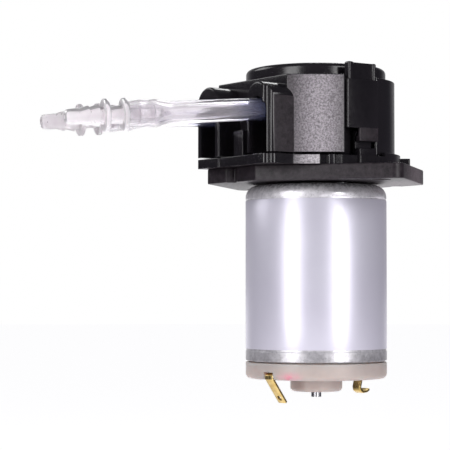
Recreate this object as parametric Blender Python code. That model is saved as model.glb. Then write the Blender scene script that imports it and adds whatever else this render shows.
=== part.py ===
"""A small peristaltic pump: a brushed can motor under a mounting plate, and a latched roller head above it.

Lengths are in millimetres and become metres through MM. The origin is on the motor's axis at the underside
of the mounting plate. +Z points up to the head, and -X is the way that the two tube ends leave the head.
"""

import math

import bmesh
import bpy
from mathutils import Matrix, Vector

MM = 0.001
GAP = 0.3
RUNNING_GAP = 0.08
ROUND = 48
SMALL_ROUND = 24

# Motor
CAN_RADIUS = 13.85
CAN_TOP = -0.3
CAN_BOTTOM = -34.55
CAN_WALL = 0.8
CAN_SHOULDER = 2.3
LABEL_TOP = -3.0
LABEL_BOTTOM = -32.5
LABEL_DEPTH = 0.45
LABEL_THICKNESS = 0.15
BOSS_RADIUS = 5.0
BOSS_TOP = 2.2
BEARING_RADIUS = 3.2
END_CAP_BOTTOM = -38.0
END_CAP_FLOOR = 1.7
END_BOSS_RADIUS = 5.1
END_BOSS_BOTTOM = -40.6
SHAFT_RADIUS = 1.0
SHAFT_BOTTOM = -41.7
SHAFT_TOP = 16.2
MAGNET_OUTER = 12.6
MAGNET_INNER = 10.4
MAGNET_HALF_ANGLE = 62.0
CORE_RADIUS = 9.6
CORE_TOP = -9.0
CORE_BOTTOM = -24.0
SLOTS = 5
SLOT_RADIUS = 2.2
SLOT_PITCH_RADIUS = 6.4
COMMUTATOR_RADIUS = 3.2
COMMUTATOR_TOP = -28.0
COMMUTATOR_BOTTOM = -31.4
MOTOR_SCREW_SPACING = 16.0
MOTOR_SCREW_RADIUS = 1.2
TERMINAL_ANGLE = 10.3
TERMINAL_WIDTH = 1.6
TERMINAL_THICKNESS = 0.5

# Base
PLATE_THICKNESS = 2.94
FLANGE_TOP = 4.75
PLATE_LONG = 19.9
PLATE_NEAR = 16.3
PLATE_TURN = -51.2
MOUNT_HOLE_SPACING = 40.0
MOUNT_HOLE_RADIUS = 1.65
FLANGE_RADIUS = 16.6
LIP_TOP = 5.5
LIP_INNER = 15.8
LIP_HALF_ANGLE = 75.0
LUG_RADIUS = 18.6
POCKET_RADIUS = 11.4
POCKET_FLOOR = 3.2

# Head
HEAD_BOTTOM = 5.05
HEAD_TOP = 19.7
HEAD_RADIUS = 15.5
FRONT_BOW = (10.45, 17.77, 38.0)
REAR_BOW = (0.0, 0.0, 19.2)
SHOULDER_Y = 16.6
WALL_X = -15.0
MOUTH_X = -20.3
TUBE_Y = 8.0
TUBE_Z = 13.1
HOLDER_WIDTH = 6.6
HOLDER_SPRING = 15.0
TRACK_RADIUS = 11.9
TUBE_RADIUS = 2.12
CHANNEL_RADIUS = 2.45
CAP_RADIUS = 13.7
CAP_TOP = 22.3

# Roller drive
SUN_RADIUS = 2.2
ROLLER_RADIUS = 3.6
ORBIT_RADIUS = 5.9
ROLLERS = 3
ROLLER_BOTTOM = 7.6
ROLLER_TOP = 16.2
PIN_RADIUS = 0.9
CARRIER_RADIUS = 9.2
CARRIER_THICKNESS = 1.4
LOWER_CARRIER = 5.9
UPPER_CARRIER = 16.5
PIVOT_RADIUS = 1.9

# Latches
LATCH_LEFT = -5.3
LATCH_RIGHT = 2.3
LATCH_FACE = 16.5
LATCH_BACK = 14.7
LATCH_PIVOT_Z = 13.0
PANEL_BOTTOM = 9.8
FOOT_LEFT = -2.3
FOOT_BOTTOM = 7.4
FOOT_BACK = 15.8
NOSE_BACK = 15.3
NOSE_TOP = 8.4
HOOK_RIGHT = 1.7
HOOK_BACK = 14.3
PEDESTAL_TOP = 6.1
TAB_TOP = 22.15
TAB_BACK = 15.0
RECESS_FLOOR = 13.6

# Tube ends: each route starts inside the head and ends at its connector's first flange.
INLET_ROUTE = [
    (-11.0, -8.0, 13.1),
    (-15.5, -8.0, 13.1),
    (-20.3, -8.0, 13.0),
    (-25.3, -7.83, 12.6),
    (-30.3, -7.34, 12.15),
    (-35.2, -6.52, 11.75),
    (-40.1, -5.38, 11.35),
    (-46.0, -3.50, 10.92),
]
OUTLET_ROUTE = [
    (-11.0, 8.0, 13.1),
    (-15.5, 8.0, 13.1),
    (-20.3, 8.0, 13.05),
    (-25.3, 8.2, 12.83),
    (-30.25, 8.8, 12.5),
    (-35.15, 9.77, 12.15),
    (-42.3, 11.95, 11.55),
]
FLANGE_R = 3.0
NECK_R = 1.65
NECK_BORE = 0.75


def clear_scene():
    for obj in list(bpy.data.objects):
        bpy.data.objects.remove(obj, do_unlink=True)


def material(name, colour, roughness, metallic=0.0):
    """One Principled material of that colour, shared by the nodes that name it."""
    found = bpy.data.materials.get(name)
    if found:
        return found
    made = bpy.data.materials.new(name)
    made.use_nodes = True
    shader = made.node_tree.nodes["Principled BSDF"]
    shader.inputs["Base Color"].default_value = (*colour, 1.0)
    shader.inputs["Roughness"].default_value = roughness
    shader.inputs["Metallic"].default_value = metallic
    return made


BLACK = ("black_nylon", (0.02, 0.02, 0.022), 0.45)
STEEL = ("plated_steel", (0.62, 0.62, 0.64), 0.3, 1.0)
FOIL = ("silver_foil", (0.78, 0.77, 0.84), 0.35, 0.8)
NYLON = ("natural_nylon", (0.82, 0.78, 0.76), 0.5)
BRASS = ("brass", (0.75, 0.6, 0.25), 0.3, 1.0)
COPPER = ("copper", (0.8, 0.4, 0.2), 0.35, 1.0)
FERRITE = ("ferrite", (0.1, 0.1, 0.11), 0.7)
BRONZE = ("sintered_bronze", (0.5, 0.35, 0.2), 0.5, 1.0)
CARBON = ("carbon", (0.05, 0.05, 0.05), 0.6)
CREAM = ("acetal", (0.85, 0.84, 0.8), 0.4)
SILICONE = ("silicone", (0.85, 0.87, 0.92), 0.3)
POLYPROPYLENE = ("polypropylene", (0.86, 0.84, 0.86), 0.35)


def place(name, mesh, look):
    """Puts a finished mesh in the scene as the object of that name, shaded smooth over its round parts."""
    mesh.shade_smooth()
    mesh.set_sharp_from_angle(angle=math.radians(32))
    obj = bpy.data.objects.new(name, mesh)
    obj.data.materials.append(material(*look))
    bpy.context.scene.collection.objects.link(obj)
    return obj


def to_mesh(name, bm):
    bmesh.ops.recalc_face_normals(bm, faces=bm.faces)
    bm.transform(Matrix.Scale(MM, 4))
    mesh = bpy.data.meshes.new(name)
    bm.to_mesh(mesh)
    bm.free()
    return mesh


def turned(name, profile, look, steps=ROUND):
    """A ring or a disc: the closed outline of (radius, height) points, spun about the vertical axis."""
    bm = bmesh.new()
    points = [bm.verts.new((radius, 0.0, height)) for radius, height in profile]
    edges = [bm.edges.new((points[i - 1], points[i])) for i in range(len(points))]
    turn = {"cent": (0, 0, 0), "axis": (0, 0, 1), "angle": 2 * math.pi}
    bmesh.ops.spin(bm, geom=points + edges, steps=steps, use_merge=True, **turn)
    bmesh.ops.remove_doubles(bm, verts=bm.verts, dist=1e-4)
    bmesh.ops.dissolve_degenerate(bm, edges=bm.edges, dist=1e-5)
    return place(name, to_mesh(name, bm), look)


def prism(name, outline, low, high, look, axis="z"):
    """The outline pulled from low to high: up the z axis, or along x with its points as (y, z)."""
    bm = bmesh.new()
    if axis == "z":
        corners = [bm.verts.new((x, y, low)) for x, y in outline]
        rise = Vector((0, 0, high - low))
    else:
        corners = [bm.verts.new((low, y, z)) for y, z in outline]
        rise = Vector((high - low, 0, 0))
    face = bm.faces.new(corners)
    grown = bmesh.ops.extrude_face_region(bm, geom=[face])["geom"]
    tops = [part for part in grown if isinstance(part, bmesh.types.BMVert)]
    bmesh.ops.translate(bm, verts=tops, vec=rise)
    return place(name, to_mesh(name, bm), look)


def block(name, low, high, look=BLACK):
    (x0, y0, z0), (x1, y1, z1) = low, high
    return prism(name, [(x0, y0), (x1, y0), (x1, y1), (x0, y1)], z0, z1, look)


def cylinder(name, radius, low, high, look, steps=SMALL_ROUND):
    return turned(name, [(0, low), (radius, low), (radius, high), (0, high)], look, steps)


def ring(name, inner, outer, low, high, look, steps=ROUND):
    return turned(name, [(inner, low), (outer, low), (outer, high), (inner, high)], look, steps)


def arc(radius, start, end, steps, centre=(0.0, 0.0)):
    """Points on a circle from the start angle to the end angle, in degrees, both ends kept."""
    angles = [math.radians(start + (end - start) * i / steps) for i in range(steps + 1)]
    return [(centre[0] + radius * math.cos(a), centre[1] + radius * math.sin(a)) for a in angles]


def polar(radius, degrees):
    return radius * math.cos(math.radians(degrees)), radius * math.sin(math.radians(degrees))


def helper(obj):
    """Marks an object as a tool of the construction, which isn't part of the pump."""
    obj.hide_render = True
    obj.display_type = "WIRE"
    return obj


def boolean(obj, tool, operation):
    step = obj.modifiers.new(f"{operation.lower()}_{tool.name}", "BOOLEAN")
    step.operation = operation
    step.solver = "EXACT"
    step.object = helper(tool)


def cut(obj, *tools):
    for tool in tools:
        boolean(obj, tool, "DIFFERENCE")


def join(obj, *tools):
    for tool in tools:
        boolean(obj, tool, "UNION")


def shift(obj, x, y, z=0.0):
    obj.location = Vector((x, y, z)) * MM
    return obj


def mirrored(outline):
    """The same outline reflected in the xz plane, still listed anticlockwise."""
    return [(x, -y) for x, y in reversed(outline)]


def swept(name, path, sizes, look, steps=16):
    """A closed tube along a level path. Its section is an oval of the given half width and half height."""
    bm = bmesh.new()
    rings = []
    for i, centre in enumerate(path):
        ahead = path[min(i + 1, len(path) - 1)] - path[max(i - 1, 0)]
        side = Vector((-ahead.y, ahead.x, 0.0)).normalized()
        wide, tall = sizes[i]
        turn = [2 * math.pi * k / steps for k in range(steps)]
        spots = [centre + side * wide * math.cos(a) + Vector((0, 0, tall * math.sin(a))) for a in turn]
        rings.append([bm.verts.new(spot) for spot in spots])
    for near, far in zip(rings, rings[1:]):
        for k in range(steps):
            bm.faces.new((near[k - 1], near[k], far[k], far[k - 1]))
    bm.faces.new(rings[0])
    bm.faces.new(list(reversed(rings[-1])))
    return place(name, to_mesh(name, bm), look)


def smooth_route(route, spacing=2.0):
    """Points along the Catmull-Rom curve through the route, about the given spacing apart."""
    ends = [Vector(route[0]) * 2 - Vector(route[1]), Vector(route[-1]) * 2 - Vector(route[-2])]
    knots = [ends[0], *[Vector(point) for point in route], ends[1]]
    points = []
    for a, b, c, d in zip(knots, knots[1:], knots[2:], knots[3:]):
        parts = max(1, round((c - b).length / spacing))
        for i in range(parts):
            t = i / parts
            bend = (2 * a - 5 * b + 4 * c - d) * t * t + (3 * b - a - 3 * c + d) * t**3
            points.append((2 * b + (c - a) * t + bend) / 2)
    points.append(Vector(route[-1]))
    return points


# ---------------------------------------------------------------- motor


def motor_screw_spots():
    return [(0.0, side * MOTOR_SCREW_SPACING / 2) for side in (-1, 1)]


def drill(obj, spots, radius, low, high):
    for i, (x, y) in enumerate(spots):
        tool = cylinder(f"drill_{obj.name}_{radius}_{i}", radius, low, high, BLACK)
        cut(obj, shift(tool, x, y))


def make_can():
    recess = CAN_RADIUS - LABEL_DEPTH
    inner = CAN_RADIUS - CAN_WALL - 0.15
    shoulder_in = CAN_SHOULDER - CAN_WALL
    under = CAN_TOP - CAN_WALL
    outer_bend = arc(CAN_SHOULDER, 90, 0, 6, (CAN_RADIUS - CAN_SHOULDER, CAN_TOP - CAN_SHOULDER))
    inner_bend = arc(shoulder_in, 0, 90, 4, (inner - shoulder_in, under - shoulder_in))
    hole = BEARING_RADIUS + GAP
    profile = [(hole, BOSS_TOP), (BOSS_RADIUS, BOSS_TOP), (BOSS_RADIUS, CAN_TOP), *outer_bend]
    profile += [(CAN_RADIUS, LABEL_TOP), (recess, LABEL_TOP)]
    profile += [(recess, LABEL_BOTTOM), (CAN_RADIUS, LABEL_BOTTOM)]
    profile += [(CAN_RADIUS, CAN_BOTTOM), (inner, CAN_BOTTOM), *inner_bend, (hole, under)]
    can = turned("motor_can", profile, STEEL)
    drill(can, motor_screw_spots(), MOTOR_SCREW_RADIUS + GAP, under - 1, CAN_TOP + 1)
    outside = CAN_RADIUS + 0.03
    inside = outside - LABEL_THICKNESS
    ring("motor_label", inside, outside, LABEL_BOTTOM + GAP, LABEL_TOP - GAP, FOIL)


def make_end_cap():
    rim_top = CAN_BOTTOM - GAP
    floor = END_CAP_BOTTOM + END_CAP_FLOOR
    spigot = 12.6
    spigot_in = 11.4
    edge = arc(0.8, -90, 0, 3, (CAN_RADIUS - 0.8, END_CAP_BOTTOM + 0.8))
    boss = arc(0.7, -90, 0, 3, (END_BOSS_RADIUS - 0.7, END_BOSS_BOTTOM + 0.7))
    shaft_hole = SHAFT_RADIUS + GAP
    seat = BEARING_RADIUS + GAP
    profile = [(shaft_hole, END_BOSS_BOTTOM), *boss, (END_BOSS_RADIUS, END_CAP_BOTTOM), *edge]
    profile += [(CAN_RADIUS, rim_top), (spigot, rim_top), (spigot, -31.9), (spigot_in, -31.9)]
    profile += [(spigot_in, floor), (5.4, floor), (5.4, -35.3), (seat, -35.3)]
    profile += [(seat, -39.4), (shaft_hole, -39.4)]
    cap = turned("motor_end_cap", profile, NYLON)
    for side, angle in (("left", 180 + TERMINAL_ANGLE), ("right", TERMINAL_ANGLE)):
        half = TERMINAL_WIDTH / 2 + GAP
        notch = block(f"notch_{side}", (9.9, -half, END_CAP_BOTTOM - 1), (15.0, half, floor + GAP))
        notch.rotation_euler.z = math.radians(angle)
        cut(cap, notch)


def make_terminal(name, angle, path):
    """A brass strip bent along a path of (radius, height) points in the vertical plane at that angle."""
    half = TERMINAL_THICKNESS / 2
    outline = []
    for side in (1, -1):
        bends = path if side == 1 else path[::-1]
        for i, (radius, height) in enumerate(bends):
            before = Vector(bends[max(i - 1, 0)])
            after = Vector(bends[min(i + 1, len(bends) - 1)])
            ahead = (after - before).normalized()
            outline.append((radius - ahead.y * half, height + ahead.x * half))
    wide = TERMINAL_WIDTH / 2
    strip = prism(name, outline, -wide, wide, BRASS, axis="x")
    strip.rotation_euler.z = math.radians(angle - 90)
    return strip


def make_terminals():
    root = [(10.6, -33.0), (10.6, -36.6)]
    left = [*root, (12.9, -36.8), (13.5, -37.5), (9.6, -42.5)]
    right = [*root, (13.0, -37.2), (13.0, -38.0), (12.2, -40.9), (14.6, -41.6)]
    make_terminal("terminal_left", 180 + TERMINAL_ANGLE, left)
    make_terminal("terminal_right", TERMINAL_ANGLE, right)


def make_magnets():
    for name, middle in (("magnet_a", 90), ("magnet_b", -90)):
        start, end = middle - MAGNET_HALF_ANGLE, middle + MAGNET_HALF_ANGLE
        outline = arc(MAGNET_OUTER, start, end, 16) + arc(MAGNET_INNER, end, start, 16)
        prism(name, outline, -28.5, -6.5, FERRITE)


def make_bearings():
    hole = SHAFT_RADIUS + RUNNING_GAP
    ring("front_bearing", hole, BEARING_RADIUS, -1.0, 2.0, BRONZE, SMALL_ROUND)
    ring("rear_bearing", hole, BEARING_RADIUS, -39.1, -35.6, BRONZE, SMALL_ROUND)


def make_brushes():
    """Each brush is a carbon block on a springy arm that reaches in from beside its terminal."""
    for name, angle in (("brush_a", 180 + TERMINAL_ANGLE), ("brush_b", TERMINAL_ANGLE)):
        arm = prism(name, [(5.0, -0.2), (9.9, -0.2), (9.9, 0.2), (5.0, 0.2)], -30.9, -28.6, CARBON)
        arm.rotation_euler.z = math.radians(angle)
        shoe = block(f"shoe_{name}", (COMMUTATOR_RADIUS + 0.1, -0.9, -30.8), (5.3, 0.9, -28.7), CARBON)
        shoe.rotation_euler.z = math.radians(angle)
        join(arm, shoe)


def make_rotor():
    cylinder("motor_shaft", SHAFT_RADIUS, SHAFT_BOTTOM, SHAFT_TOP, STEEL)
    bore = SHAFT_RADIUS + RUNNING_GAP
    core = ring("armature_core", bore, CORE_RADIUS, CORE_BOTTOM, CORE_TOP, STEEL)
    winding = ring("armature_winding", 2.6, 8.6, CORE_TOP + GAP, CORE_TOP + 3.2, COPPER)
    join(winding, ring("rear_turns", 2.6, 8.6, CORE_BOTTOM - 3.2, CORE_BOTTOM - GAP, COPPER))
    for i in range(SLOTS):
        angle = 360 * i / SLOTS + 18
        spot = polar(SLOT_PITCH_RADIUS, angle)
        slot = cylinder(f"slot_{i}", SLOT_RADIUS, CORE_BOTTOM - 1, CORE_TOP + 1, STEEL)
        low, high = (SLOT_PITCH_RADIUS, -0.6, CORE_BOTTOM - 1), (11.0, 0.6, CORE_TOP + 1)
        mouth = block(f"slot_mouth_{i}", low, high)
        mouth.rotation_euler.z = math.radians(angle)
        cut(core, shift(slot, *spot), mouth)
        coil = cylinder(f"coil_{i}", SLOT_RADIUS - GAP, CORE_BOTTOM - 1, CORE_TOP + 1, COPPER, 12)
        join(winding, shift(coil, *spot))
    ring("commutator", bore, COMMUTATOR_RADIUS, COMMUTATOR_BOTTOM, COMMUTATOR_TOP, COPPER, SMALL_ROUND)
    ring("drive_sleeve", bore, SUN_RADIUS, ROLLER_BOTTOM, ROLLER_TOP - GAP, STEEL, SMALL_ROUND)


def make_motor_screws():
    """Flat-headed screws that hold the base to the motor's face from inside the head."""
    seat = POCKET_FLOOR + GAP
    for name, (x, y) in zip(("motor_screw_a", "motor_screw_b"), motor_screw_spots()):
        profile = [(0, -3.0), (MOTOR_SCREW_RADIUS, -3.0), (MOTOR_SCREW_RADIUS, seat)]
        profile += [(2.3, seat), (2.3, 4.7), (0, 4.7)]
        shift(turned(name, profile, STEEL, SMALL_ROUND), x, y)


# ---------------------------------------------------------------- base and head


def plate_outline():
    """Half of the plate's outline, then the same half turned by 180 degrees."""
    half = [(PLATE_LONG, -PLATE_NEAR), (PLATE_LONG, 7.1), (17.0, 10.5), (12.5, 10.8), (8.0, PLATE_NEAR)]
    turn = Matrix.Rotation(math.radians(PLATE_TURN), 2)
    whole = half + [(-x, -y) for x, y in half]
    return [tuple(turn @ Vector(point)) for point in whole]


def holder_side(side):
    """The outline of one tube holder's free sides, on the side of y given by the sign."""
    inner = TUBE_Y - HOLDER_WIDTH / 2
    outer = TUBE_Y + HOLDER_WIDTH / 2
    points = [(WALL_X, -inner), (MOUTH_X, -inner), (MOUTH_X, -outer)]
    return points if side < 0 else mirrored(points)


def shoulder(side, start_y):
    """The bowed wall from beside the tube holder to the latch, on the side of y given by the sign."""
    x, y, radius = FRONT_BOW if side < 0 else REAR_BOW
    start = -180 + math.degrees(math.asin((start_y + y) / radius))
    end = -180 + math.degrees(math.asin((SHOULDER_Y + y) / radius))
    front_edge = [(LATCH_LEFT - GAP, -SHOULDER_Y), (LATCH_RIGHT + GAP, -SHOULDER_Y)]
    points = [*arc(radius, start, end, 8, (x, y)), *front_edge]
    return points if side < 0 else mirrored(points)


def corner_y(bow):
    """How far out in y a bowed wall reaches where it meets the flat wall behind the tube holders."""
    x, y, radius = bow
    return math.sqrt(radius**2 - (WALL_X - x) ** 2) - y


def round_back(radius):
    start = -math.degrees(math.acos((LATCH_RIGHT + GAP) / radius))
    return arc(radius, start, -start, 20)


def flange_outline():
    """The base's upper step seen from above: it carries the tube holders too."""
    outer = TUBE_Y + HOLDER_WIDTH / 2
    front = [*holder_side(-1), *shoulder(-1, outer)]
    rear = [*shoulder(1, outer), *holder_side(1)]
    return front + round_back(FLANGE_RADIUS) + rear


def body_outline():
    """The housing's own wall, without the tube holders, which are arched and joined on."""
    front = shoulder(-1, corner_y(FRONT_BOW))
    rear = shoulder(1, corner_y(REAR_BOW))
    return [*front, *round_back(HEAD_RADIUS), *rear]


def make_base():
    plate = prism("base_plate", plate_outline(), 0.0, PLATE_THICKNESS, BLACK)
    join(plate, prism("flange", flange_outline(), PLATE_THICKNESS - 0.05, FLANGE_TOP, BLACK))
    lip = arc(FLANGE_RADIUS, -LIP_HALF_ANGLE, LIP_HALF_ANGLE, 20)
    lip += arc(LIP_INNER, LIP_HALF_ANGLE, -LIP_HALF_ANGLE, 20)
    join(plate, prism("lip", lip, FLANGE_TOP - 0.5, LIP_TOP, BLACK))
    lug = prism("lug", arc(LUG_RADIUS, -36, -20, 4) + arc(12.5, -20, -36, 4), 2.0, FLANGE_TOP + 0.25, BLACK)
    join(plate, lug)
    for name, side in (("front", -1), ("rear", 1)):
        join(plate, hook(name, side))
    cut(plate, cylinder("pocket", POCKET_RADIUS, POCKET_FLOOR, 12.0, BLACK, ROUND))
    cut(plate, cylinder("motor_hole", BOSS_RADIUS + 0.4, -1.0, 12.0, BLACK, ROUND))
    drill(plate, motor_screw_spots(), MOTOR_SCREW_RADIUS + GAP, -1.0, 6.0)
    mount_holes = [(0, -MOUNT_HOLE_SPACING / 2), (0, MOUNT_HOLE_SPACING / 2)]
    drill(plate, mount_holes, MOUNT_HOLE_RADIUS, -1.0, 12.0)


def hook(name, side):
    """A pedestal with a slim column behind the latch's foot, and a lip that the foot's nose catches under."""
    column = NOSE_BACK - GAP
    lip_bottom = NOSE_TOP + GAP
    top = PANEL_BOTTOM - GAP
    outline = [
        (HOOK_BACK, FLANGE_TOP - 1.0),
        (LATCH_FACE, FLANGE_TOP - 1.0),
        (LATCH_FACE, PEDESTAL_TOP),
        (column, PEDESTAL_TOP),
        (column, lip_bottom),
        (FOOT_BACK - GAP, lip_bottom),
        (FOOT_BACK - GAP, top),
        (HOOK_BACK, top),
    ]
    outline = [(side * y, z) for y, z in outline]
    return prism(f"hook_{name}", outline, FOOT_LEFT, HOOK_RIGHT, BLACK, axis="x")


def arch_outline(side):
    """A tube holder seen along its tube: straight sides under a round top."""
    half = HOLDER_WIDTH / 2
    centre = side * TUBE_Y
    top = arc(half, 0, 180, 10, (centre, HOLDER_SPRING))
    return [(centre - half, HEAD_BOTTOM), (centre + half, HEAD_BOTTOM), *top]


def leg_path(side):
    """The tube inside the head, from the middle of its round track out to where the free end starts."""
    track = TRACK_RADIUS - 1.3
    path = [Vector((*polar(track, side * a), TUBE_Z)) for a in range(0, 101, 10)]
    sizes = [(1.0, 2.8)] * len(path)
    start = path[-1]
    end = Vector((INLET_ROUTE[0][0] + GAP, side * TUBE_Y, TUBE_Z))
    steps = 7
    for i in range(1, steps + 1):
        t = i / steps
        ease = t * t * (3 - 2 * t)
        leg = end - start
        path.append(Vector((start.x + leg.x * t, start.y + leg.y * ease, TUBE_Z)))
        sizes.append((1.0 + (TUBE_RADIUS - 1.0) * ease, 2.8 + (TUBE_RADIUS - 2.8) * ease))
    return path, sizes


def make_housing():
    body = prism("pump_housing", body_outline(), HEAD_BOTTOM, HEAD_TOP, BLACK)
    for name, side in (("front", -1), ("rear", 1)):
        holder = prism(f"holder_{name}", arch_outline(side), MOUTH_X, -12.5, BLACK, axis="x")
        join(body, holder)
    cut(body, cylinder("track", TRACK_RADIUS, 0.0, 30.0, BLACK, ROUND))
    for name, side in (("front", -1), ("rear", 1)):
        path, _ = leg_path(side)
        outside = Vector((MOUTH_X - 2, side * TUBE_Y, TUBE_Z))
        route = [*path[8:], outside]
        cut(body, swept(f"channel_{name}", route, [(CHANNEL_RADIUS, CHANNEL_RADIUS)] * len(route), BLACK, 24))
        half = CHANNEL_RADIUS - 0.15
        middle = side * TUBE_Y
        slot = block(f"slot_{name}", (MOUTH_X - 1, middle - half, 0), (-15.6, middle + half, TUBE_Z))
        cut(body, slot)
        low, high = sorted((side * RECESS_FLOOR, side * 20))
        recess = block(f"recess_{name}", (LATCH_LEFT - GAP, low, 0), (LATCH_RIGHT + GAP, high, 30))
        cut(body, recess)
        low, high = sorted((side * (RECESS_FLOOR - 0.5), side * (LATCH_BACK - GAP)))
        neck = block(f"neck_{name}", (-3.5, low, LATCH_PIVOT_Z - 0.6), (0.5, high, LATCH_PIVOT_Z + 0.6))
        join(body, neck)


def make_cap():
    edge = arc(0.9, 0, 90, 4, (CAP_RADIUS - 0.9, CAP_TOP - 0.9))
    seat = HEAD_TOP + GAP
    spigot = TRACK_RADIUS - GAP
    profile = [(0, UPPER_CARRIER + 0.3), (PIVOT_RADIUS, UPPER_CARRIER + 0.3), (PIVOT_RADIUS, 18.4)]
    profile += [(spigot - 1.5, 18.4), (spigot - 1.5, 18.2), (spigot, 18.2)]
    profile += [(spigot, seat), (CAP_RADIUS, seat)]
    turned("head_cap", [*profile, *edge, (0, CAP_TOP)], BLACK)


def make_carrier():
    spots = [polar(ORBIT_RADIUS, 360 * i / ROLLERS) for i in range(ROLLERS)]
    lower_top = LOWER_CARRIER + CARRIER_THICKNESS
    upper_top = UPPER_CARRIER + CARRIER_THICKNESS
    lower = ring("carrier_lower", 3.0, CARRIER_RADIUS, LOWER_CARRIER, lower_top, CREAM)
    upper_bore = PIVOT_RADIUS + RUNNING_GAP
    upper = ring("carrier_upper", upper_bore, CARRIER_RADIUS, UPPER_CARRIER, upper_top, CREAM)
    drill(lower, spots, PIN_RADIUS + 0.1, LOWER_CARRIER - 1, lower_top + 1)
    drill(upper, spots, PIN_RADIUS + 0.1, UPPER_CARRIER - 1, upper_top + 1)
    for i, (x, y) in enumerate(spots, 1):
        shift(cylinder(f"roller_pin_{i}", PIN_RADIUS, LOWER_CARRIER + 0.2, upper_top - 0.1, STEEL), x, y)
        bore = PIN_RADIUS + RUNNING_GAP
        shift(ring(f"roller_{i}", bore, ROLLER_RADIUS, ROLLER_BOTTOM, ROLLER_TOP, CREAM, SMALL_ROUND), x, y)


def make_latch(name, side):
    """A latch: a panel with a finger tab above, and below a narrow foot whose nose points inwards."""

    def slab(part, left, right, back, face, bottom, top):
        low, high = sorted((side * back, side * face))
        return block(part, (left, low, bottom), (right, high, top))

    panel_top = HEAD_TOP - 0.5
    panel = slab(name, LATCH_LEFT, LATCH_RIGHT, LATCH_BACK, LATCH_FACE, PANEL_BOTTOM, panel_top)
    left, right = LATCH_LEFT + 0.3, LATCH_RIGHT - 0.4
    tab = slab(f"tab_{name}", left, right, TAB_BACK, LATCH_FACE, panel_top - 1, TAB_TOP)
    left, right = FOOT_LEFT, LATCH_RIGHT
    foot = slab(f"foot_{name}", left, right, FOOT_BACK, LATCH_FACE, FOOT_BOTTOM, PANEL_BOTTOM + 1)
    nose = slab(f"nose_{name}", left, right, NOSE_BACK, FOOT_BACK + 0.2, FOOT_BOTTOM, NOSE_TOP)
    join(panel, tab, foot, nose)


def make_tube():
    front, sizes = leg_path(-1)
    back, _ = leg_path(1)
    path = front[:0:-1] + back
    swept("pump_tube", path, sizes[:0:-1] + sizes, SILICONE, 14)


def free_tube(name, route):
    points = smooth_route(route)
    heading = (points[-1] - points[-2]).normalized()
    points[-1] -= heading * GAP
    curve = bpy.data.curves.new(name, "CURVE")
    curve.dimensions = "3D"
    curve.bevel_depth = TUBE_RADIUS * MM
    curve.bevel_resolution = 3
    curve.use_fill_caps = True
    spline = curve.splines.new("POLY")
    spline.points.add(len(points) - 1)
    for spot, point in zip(spline.points, points):
        spot.co = (*(point * MM), 1.0)
    curve.materials.append(material(*SILICONE))
    obj = bpy.data.objects.new(name, curve)
    bpy.context.scene.collection.objects.link(obj)
    return heading


def make_connector(name, route, heading):
    """A barbed hose connector with two flanges, bored right through."""
    profile = [
        (NECK_BORE, 0.0),
        (FLANGE_R, 0.0),
        (FLANGE_R, 0.9),
        (NECK_R, 0.9),
        (NECK_R, 3.5),
        (FLANGE_R, 3.5),
        (FLANGE_R, 4.4),
        (NECK_R, 4.4),
        (NECK_R, 5.1),
        (2.0, 5.2),
        (1.6, 6.9),
        (1.8, 7.0),
        (1.4, 8.7),
        (1.45, 8.8),
        (1.15, 11.4),
        (NECK_BORE, 11.4),
    ]
    part = turned(name, profile, POLYPROPYLENE, SMALL_ROUND)
    part.location = Vector(route[-1]) * MM
    part.rotation_euler = heading.to_track_quat("Z", "Y").to_euler()


def main():
    clear_scene()
    make_can()
    make_end_cap()
    make_terminals()
    make_magnets()
    make_bearings()
    make_brushes()
    make_rotor()
    make_motor_screws()
    make_base()
    make_housing()
    make_cap()
    make_carrier()
    make_latch("latch_front", -1)
    make_latch("latch_rear", 1)
    make_tube()
    make_connector("inlet_connector", INLET_ROUTE, free_tube("inlet_tube", INLET_ROUTE))
    make_connector("outlet_connector", OUTLET_ROUTE, free_tube("outlet_tube", OUTLET_ROUTE))


main()
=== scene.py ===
"""The finished look of a small peristaltic pump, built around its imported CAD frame.

Lengths are in millimetres and become metres through MM. The origin is on the motor's axis at the underside of the
mounting plate, +Z points up to the roller head, and the tubes leave along -X.
"""

import math

import bmesh
import bpy
from mathutils import Matrix, Vector


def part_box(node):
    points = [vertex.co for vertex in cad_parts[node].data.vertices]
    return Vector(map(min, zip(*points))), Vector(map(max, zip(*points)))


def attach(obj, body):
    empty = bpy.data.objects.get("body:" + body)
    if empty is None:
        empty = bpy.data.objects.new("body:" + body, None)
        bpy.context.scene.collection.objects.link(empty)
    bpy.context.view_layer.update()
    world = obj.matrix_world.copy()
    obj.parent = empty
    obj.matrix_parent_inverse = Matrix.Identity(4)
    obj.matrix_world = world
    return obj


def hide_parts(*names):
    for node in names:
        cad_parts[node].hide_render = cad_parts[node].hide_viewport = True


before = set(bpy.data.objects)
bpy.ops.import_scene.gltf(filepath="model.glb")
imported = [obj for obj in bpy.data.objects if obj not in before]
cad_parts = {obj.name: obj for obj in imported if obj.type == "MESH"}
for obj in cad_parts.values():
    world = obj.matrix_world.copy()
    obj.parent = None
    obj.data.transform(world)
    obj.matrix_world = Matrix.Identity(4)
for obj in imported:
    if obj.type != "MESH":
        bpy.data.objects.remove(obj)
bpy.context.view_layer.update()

MM = 0.001
# The clearance between neighbouring pieces.
GAP = 0.3


def millimetres(node):
    """The lowest and highest corner of a CAD node, in millimetres."""
    low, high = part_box(node)
    return Vector(low) / MM, Vector(high) / MM


# ---------------------------------------------------------------- sizes

CAN_LOW, CAN_HIGH = millimetres("motor_can")
CAP_LOW = millimetres("motor_end_cap")[0]
HEAD_LOW, HEAD_HIGH = millimetres("pump_housing")
LID_HIGH = millimetres("head_cap")[1]
LATCH_LOW, LATCH_HIGH = millimetres("latch_front")
LABEL_LOW, LABEL_HIGH = millimetres("motor_label")

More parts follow.
